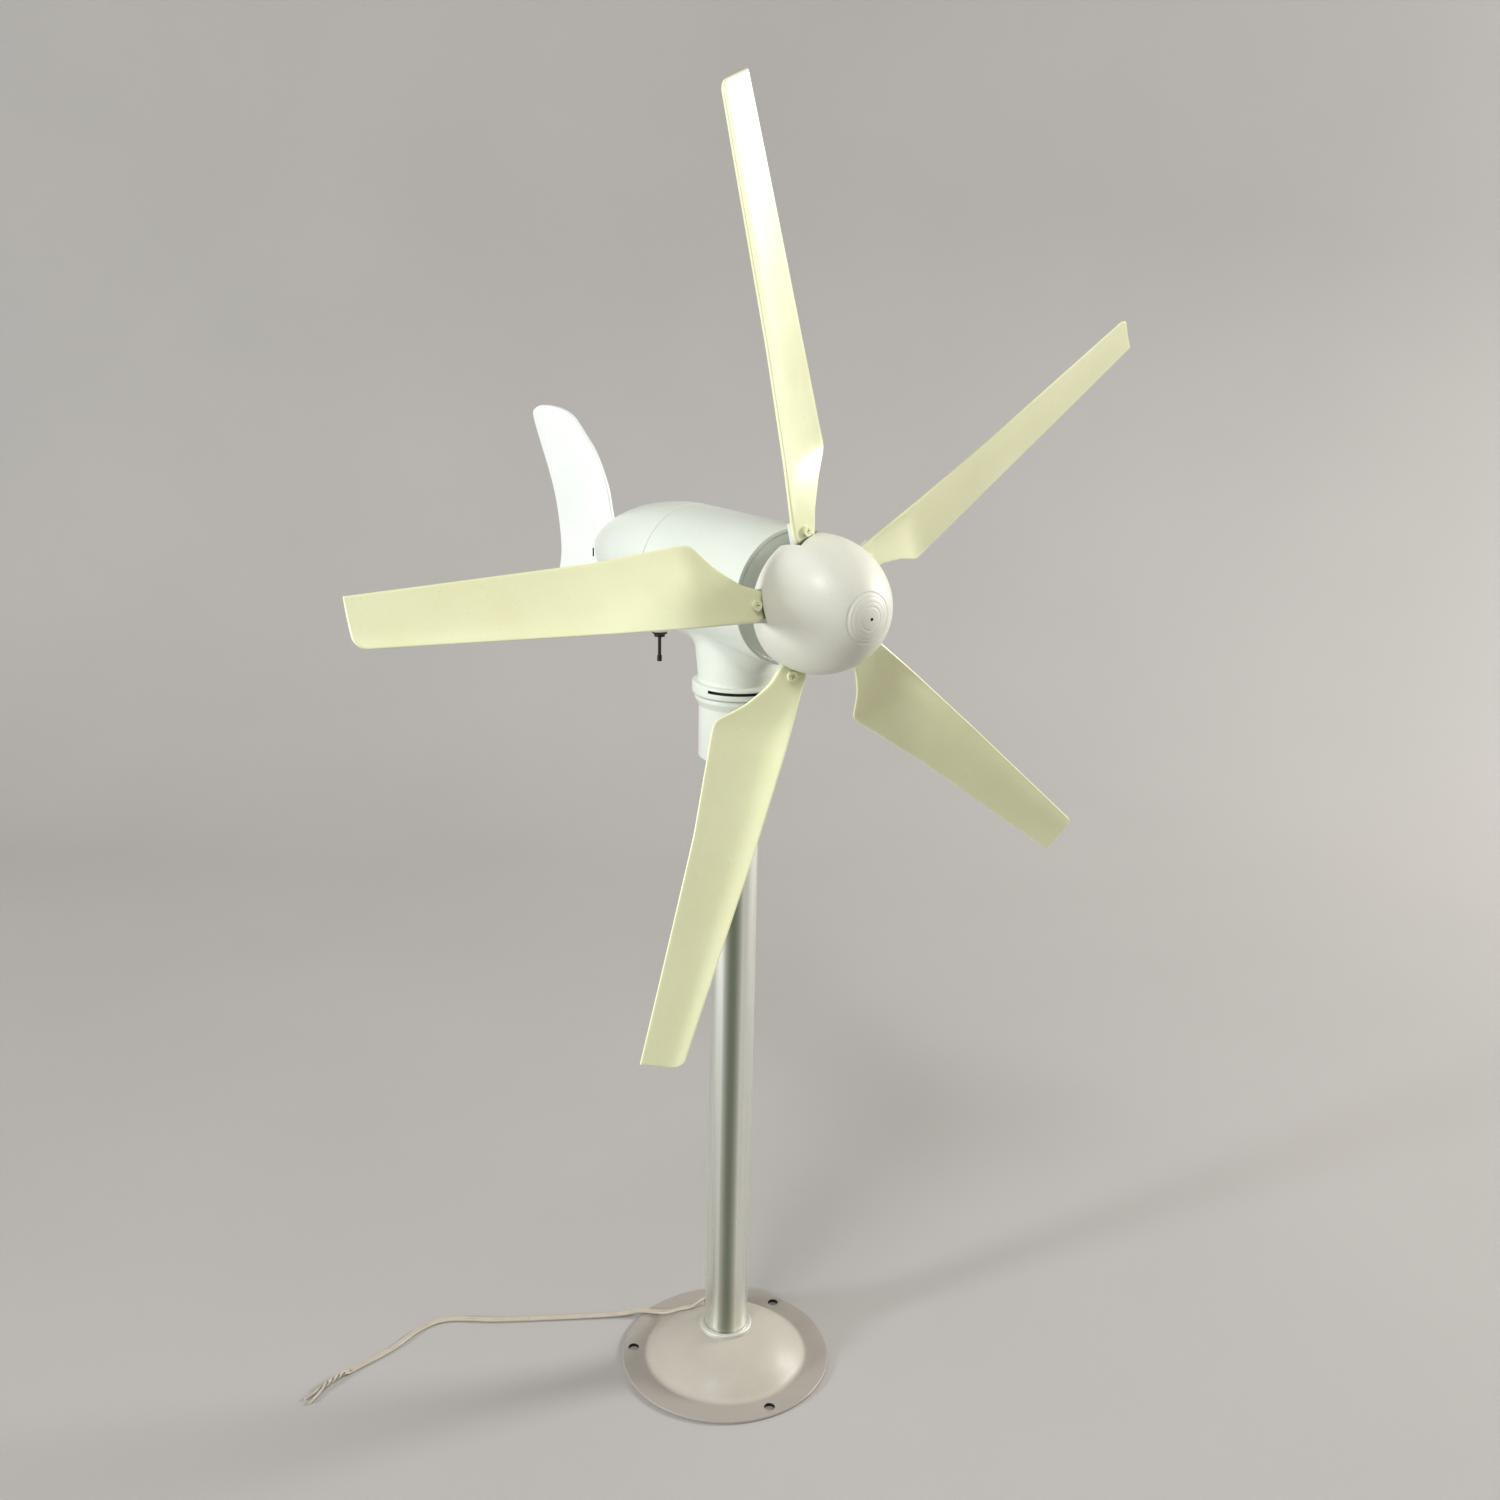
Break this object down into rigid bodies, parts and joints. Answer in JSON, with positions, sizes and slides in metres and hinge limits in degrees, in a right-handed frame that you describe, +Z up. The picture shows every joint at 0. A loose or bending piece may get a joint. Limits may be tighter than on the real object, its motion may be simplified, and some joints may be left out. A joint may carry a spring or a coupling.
{
  "type": "small wind turbine",
  "caption": "Small bladed wind turbine with a domed spinner, finned nacelle and toggle switch, yawing on an aluminium pole above a round base flange with a two-core lead.",
  "frame": {"origin": "centre of the base flange's hole circle, on the floor plane", "axes": "+Z up the pole; the rotor faces -Y at rest; +X is to the right as seen from the front"},
  "size_m": [0.448, 0.3185, 0.7045],
  "materials": {
    "body_white": "smooth moulded white",
    "blade_cream": "smooth moulded ivory",
    "base_paint": "satin warm grey paint",
    "pole_alloy": "satin anodised, drawn lengthwise",
    "turned_steel": "turned",
    "dark_steel": "blackened",
    "black_rubber": "matt",
    "cable_sheath": "soft sheath",
    "black_plastic": "moulded",
    "copper": "bare copper",
    "brass": "bright",
    "motor_plate": "zinc plated",
    "ferrite": "ground",
    "red_wire": "soft sheath",
    "switch_blue": "moulded",
    "tinned": "plated"
  },
  "bodies": {
    "tower": {"base_flange": "base_paint", "base_hub": "turned_steel", "hub_grub_screw": "dark_steel", "pole_tube": "pole_alloy", "cable_grommet": "black_rubber", "power_cable": "cable_sheath", "cable_wire_ends": "cable_sheath", "tower_sleeve": "body_white", "sleeve_grub_screws": "dark_steel", "yaw_bearing_outer_races": "turned_steel", "yaw_bearing_balls": "turned_steel", "bearing_spacer": "turned_steel", "slip_ring_housing": "black_plastic", "slip_ring_brushes": "copper"},
    "nacelle": {"nacelle_body": "body_white", "front_cover": "body_white", "tail_cone": "body_white", "tail_cone_screws": "turned_steel", "tail_fin": "body_white", "fin_screw": "turned_steel", "fin_nut": "turned_steel", "yaw_shaft": "turned_steel", "yaw_flange_screws": "dark_steel", "yaw_spacer": "turned_steel", "yaw_bearing_inner_races": "turned_steel", "yaw_shaft_nut": "turned_steel", "slip_ring_drum": "black_plastic", "slip_ring_bands": "brass", "motor_can": "motor_plate", "motor_front_cap": "motor_plate", "motor_rear_cap": "black_plastic", "motor_magnets": "ferrite", "motor_brushes": "ferrite", "brush_springs": "turned_steel", "motor_bearings": "turned_steel", "motor_mount_screws": "dark_steel", "motor_terminals": "brass", "motor_to_switch_wire": "red_wire", "nacelle_drop_wires": "red_wire", "switch_body": "switch_blue", "switch_terminals": "tinned", "switch_bushing": "tinned", "switch_washer": "tinned", "switch_nut": "dark_steel"},
    "rotor": {"rotor_shaft": "turned_steel", "armature_core": "ferrite", "armature_windings": "copper", "commutator": "copper", "blade_hub": "body_white", "rotor_grub_screw": "dark_steel", "blade_1": "blade_cream", "blade_2": "blade_cream", "blade_3": "blade_cream", "blade_4": "blade_cream", "blade_5": "blade_cream", "blade_screws": "turned_steel", "blade_nuts": "turned_steel", "spinner": "body_white"},
    "switch_lever": {"toggle_lever": "dark_steel"}
  },
  "joints": [
    {"name": "nacelle_yaw", "type": "hinge", "parent": "tower", "child": "nacelle", "pos_m": [0, 0, 0.41], "axis": [0, 0, 1], "continuous": true},
    {"name": "rotor_spin", "type": "hinge", "parent": "nacelle", "child": "rotor", "pos_m": [0, -0.067, 0.469], "axis": [0, -1, 0], "continuous": true},
    {"name": "switch_throw", "type": "hinge", "parent": "nacelle", "child": "switch_lever", "pos_m": [0, 0.075, 0.432], "axis": [0, 1, 0], "range_deg": [-12, 12]}
  ]
}
